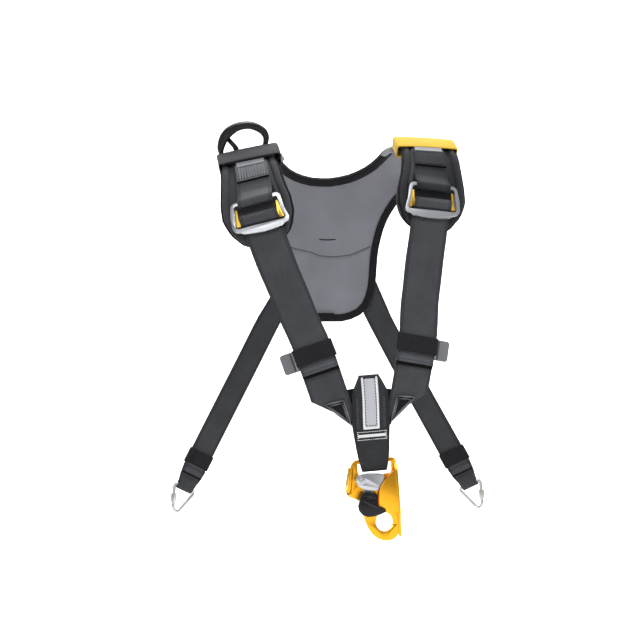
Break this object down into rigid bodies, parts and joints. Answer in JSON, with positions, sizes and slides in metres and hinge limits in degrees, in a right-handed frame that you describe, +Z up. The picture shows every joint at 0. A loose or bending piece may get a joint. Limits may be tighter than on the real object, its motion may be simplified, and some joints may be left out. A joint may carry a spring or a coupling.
{
  "type": "climbing chest harness",
  "caption": "Padded chest harness in its worn shape, with a back yoke, shoulder buckles, a chest ascender on a sewn loop and rear straps ending in screw links.",
  "frame": {"origin": "between the shoulders that carry it: midway between the undersides of the two shoulder pads, at their tops", "axes": "+Z up, -Y the way the wearer faces, +X to the wearer's left"},
  "size_m": [0.3746, 0.2633, 0.464],
  "materials": {
    "grey_cloth": "smooth padded cloth",
    "dark_cloth": "ribbed padded cloth",
    "black_cloth": "woven tape",
    "webbing": "woven webbing",
    "band_grey": "woven tape",
    "band_yellow": "woven tape",
    "label_cloth": "smooth woven tape",
    "black_plastic": "moulded, satin",
    "grey_plastic": "moulded",
    "silver": "polished",
    "orange_alloy": "anodised orange",
    "steel": "satin"
  },
  "bodies": {
    "harness": {"back_yoke": "grey_cloth", "right_shoulder_pad": "dark_cloth", "left_shoulder_pad": "dark_cloth", "neck_binding": "black_cloth", "body_binding": "black_cloth", "waist_tab": "black_cloth", "right_keeper": "black_cloth", "right_rear_keeper": "black_cloth", "right_gusset": "black_cloth", "left_keeper": "black_cloth", "left_rear_keeper": "black_cloth", "left_gusset": "black_cloth", "right_shoulder_webbing": "webbing", "right_front_strap": "webbing", "right_rear_strap": "webbing", "left_shoulder_webbing": "webbing", "left_front_strap": "webbing", "left_rear_strap": "webbing", "sternal_loop": "webbing", "right_shoulder_band": "band_grey", "left_shoulder_band": "band_yellow", "label_strip": "label_cloth", "gear_loop": "black_plastic", "right_strap_tab": "grey_plastic", "left_strap_tab": "grey_plastic", "right_buckle_frame": "silver", "right_screw_link": "silver", "left_buckle_frame": "silver", "left_screw_link": "silver", "right_buckle_slider": "orange_alloy", "left_buckle_slider": "orange_alloy", "ascender_frame": "orange_alloy", "cam_axle": "steel"},
    "cam": {"cam": "steel"},
    "catch": {"catch": "black_plastic"},
    "right_nut": {"right_link_nut": "silver"},
    "left_nut": {"left_link_nut": "silver"}
  },
  "joints": [
    {"name": "cam_hinge", "type": "hinge", "parent": "harness", "child": "cam", "pos_m": [0.01325, -0.13442, -0.35957], "axis": [0, 1, 0], "range_deg": [0, 45], "stiffness_Nm_per_rad": 0.15, "springref_deg": -28.65},
    {"name": "catch_hinge", "type": "hinge", "parent": "cam", "child": "catch", "pos_m": [0.02229, -0.13642, -0.37892], "axis": [0, 1, 0], "range_deg": [0, 12], "stiffness_Nm_per_rad": 0.06, "springref_deg": -22.92},
    {"name": "right_nut_slide", "type": "slide", "parent": "harness", "child": "right_nut", "axis": [0.0677, 0.0783, 0.9946], "range_m": [0, 0.006]},
    {"name": "left_nut_slide", "type": "slide", "parent": "harness", "child": "left_nut", "axis": [-0.0677, 0.0783, 0.9946], "range_m": [0, 0.006]}
  ]
}
